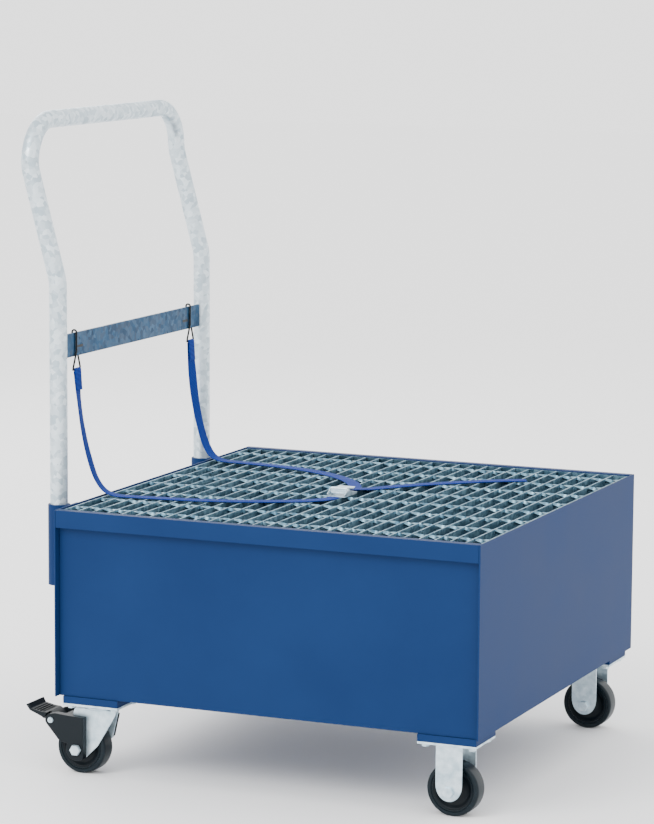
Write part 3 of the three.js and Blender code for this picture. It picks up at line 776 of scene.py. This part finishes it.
def makeHousing(tag, x, y, body):   # two cheeks outside the fork, joined by a bridge over the wheel
    v = cover
    form = Form()
    nearCheek = [(x + a, b) for a, b in housingOutline([(-22, 112)])]
    farCheek = [(x + a, b) for a, b in housingOutline([(13, 69), (23, 113)])]
    form.sideways(nearCheek, y - v["near"], y - v["inner"])
    form.sideways(farCheek, y + v["inner"], y + v["far"])
    (left, right), (low, high) = v["bridge"], v["bridgeZ"]
    form.box((x + left, y - v["inner"] - 1, low), (x + right, y + v["inner"] + 1, high))
    dress(form.make(f"brake_cover_{tag}"), blackNylon, body, [f"brake_housing_{tag}"], 1.0)


pedal = {"armHalf": 21.5, "near": 38, "far": 23.4, "ribs": 4, "firstRib": -127, "ribPitch": 6}


def makePedal(tag, x, y, body):
    v = pedal
    arm = [(-89, 94.5), (-82.5, 99), (-82.5, 106), (-89, 110.5), (-97, 115), (-109, 116), (-111, 109),
           (-106, 103.6), (-98, 95)]
    tread = [(-104, 103.5), (-98.5, 115.5), (-113, 117), (-132, 121), (-137, 130), (-142.5, 127.6),
             (-134.5, 117), (-109, 107)]
    form = Form()
    form.sideways([(x + a, b) for a, b in arm], y - v["armHalf"], y + v["armHalf"])
    form.sideways([(x + a, b) for a, b in tread], y - v["near"], y + v["far"])
    for i in range(v["ribs"]):   # grip ribs along the tread
        a = v["firstRib"] + i * v["ribPitch"]
        form.box((x + a, y - 33, 117), (x + a + 2, y + 18, 121.2 - i * 1.05))
    dress(form.make(f"pedal_{tag}"), blackNylon, body, [f"brake_pedal_{tag}"], 0.8)


def makePedalPin(tag, x, y, body):
    form = Form().turned([
        (0, -39.4), (1.8, -39.4), (2.4, -41), (5, -40.6), (6, -38.3), (3, -38.3), (3, 30.3), (6, 30.3),
        (5.2, 32.4), (3.5, 33), (0, 33),
    ], (x + pivot["x"], y, pivot["z"]), segments=40)
    dress(form.make(f"pedal_rivet_{tag}"), brightZinc, body, [f"pedal_pin_{tag}"])


kingpin = {"foot": 115.3, "nutTop": 123.7, "top": 136.4, "radius": 8, "nut": 12, "raceFoot": 127.3}


def hexRing(x, y, z, radius):   # a hexagon lying flat
    return [(x + radius * math.cos(math.pi * k / 3), y + radius * math.sin(math.pi * k / 3), z)
            for k in range(6)]


def makeRace(tag, x, y):
    v = kingpin
    profile = [(8.3, 0), (30, 0), (33, 2), (33, 4), (31, 4.8), (31, 5.4), (33, 6), (33, 8.6), (31.5, 9.2),
               (8.3, 9.2)]
    race = Form().turned(profile, (x, y, v["raceFoot"]), "Z", 72)
    dress(race.make(f"race_{tag}"), brightZinc, "chassis", [f"swivel_race_{tag}"])
    r, foot, top = v["radius"], v["foot"], v["top"]
    pin = Form().turned([(0, foot), (r - 1.5, foot), (r, foot + 1.5), (r, top), (0, top)], (x, y, 0), "Z", 40)
    pin.rings([hexRing(x, y, z, v["nut"]) for z in (foot, v["nutTop"])])
    dress(pin.make(f"kingpin_{tag}_bolt"), brightZinc, "chassis", [f"kingpin_{tag}"], 0.4)


plateBolt = {"outX": 45, "outY": 38, "washer": 9, "head": 7.5, "seat": 135.2, "shoulder": 132.2, "face": 131}


def makeBolts(tag, x, y):   # four bolt heads with washers under the top plate
    v = plateBolt
    form = Form()
    washer = [(0, -0.1), (v["washer"], -0.1), (v["washer"], -1.6), (0, -1.6)]
    head = ((v["seat"], v["head"]), (v["shoulder"], v["head"]), (v["face"], v["head"] * 0.9))
    for dx in (-v["outX"], v["outX"]):
        for dy in (-v["outY"], v["outY"]):
            form.turned(washer, (x + dx, y + dy, castor["plateZ"]), "Z", 32)
            form.rings([hexRing(x + dx, y + dy, z, radius) for z, radius in head])
    dress(form.make(f"plate_bolts_{tag}"), brightZinc, "chassis", ease=0.3)


for side, y in (("r", castor["inY"]), ("l", sumpWidth - castor["inY"])):
    x = castor["swivelX"]
    tag = f"swivel_{side}"
    wheelX = x - castor["trail"]
    makeWheel(tag, wheelX, y, castor["swivelBoss"], f"wheel_{tag}")
    makeAxle(tag, wheelX, y, -cover["near"], cover["far"], tag)
    nearLeg = swivelOutline([(1, 57), (39, 120), (40.5, 127)])
    farLeg = swivelOutline([(12, 66), (23, 113), (27, 127)])
    makeFork(tag, x, y, nearLeg, farLeg, swivelFork["inner"], swivelFork["crown"], tag)
    makeHousing(tag, x, y, tag)
    makePedal(tag, x, y, f"brake_pedal_{side}")
    makePedalPin(tag, x, y, tag)
    makeRace(tag, x, y)
    makeBolts(tag, x, y)
    x = castor["fixedX"]
    tag = f"fixed_{side}"
    makeWheel(tag, x, y, castor["fixedBoss"], f"wheel_{tag}")
    reach = fixedFork["inner"] + steel
    makeAxle(tag, x, y, -reach, reach, "chassis")
    crown = (-fixedFork["half"], fixedFork["half"], fixedFork["top"])
    makeFork(tag, x, y, fixedOutline(), fixedOutline(), fixedFork["inner"], crown, "chassis")
    makeBolts(tag, x, y)
print("castors")

# sheet steel that stays as the frame has it, with eased edges
for name in ("sump_panel_r", "sump_panel_l", "sump_end_plate_handle", "sump_end_plate_front", "sump_floor",
             "grating_ledge_r", "grating_ledge_l"):
    keepNode(name, bluePaint, 0.8)
for side in sides:
    keepNode(f"socket_spacer_{side}", bluePaint, 1.0)
    keepNode(f"handle_screw_{side}", brightZinc, 0.4)
    for end in ("swivel", "fixed"):
        keepNode(f"foot_plate_{end}_{side}", bluePaint, 0.8)
        keepNode(f"castor_plate_{end}_{side}", brightZinc, 0.8)
keepNode("strap_plate", plateZinc, 0.5)
print("sheet steel")
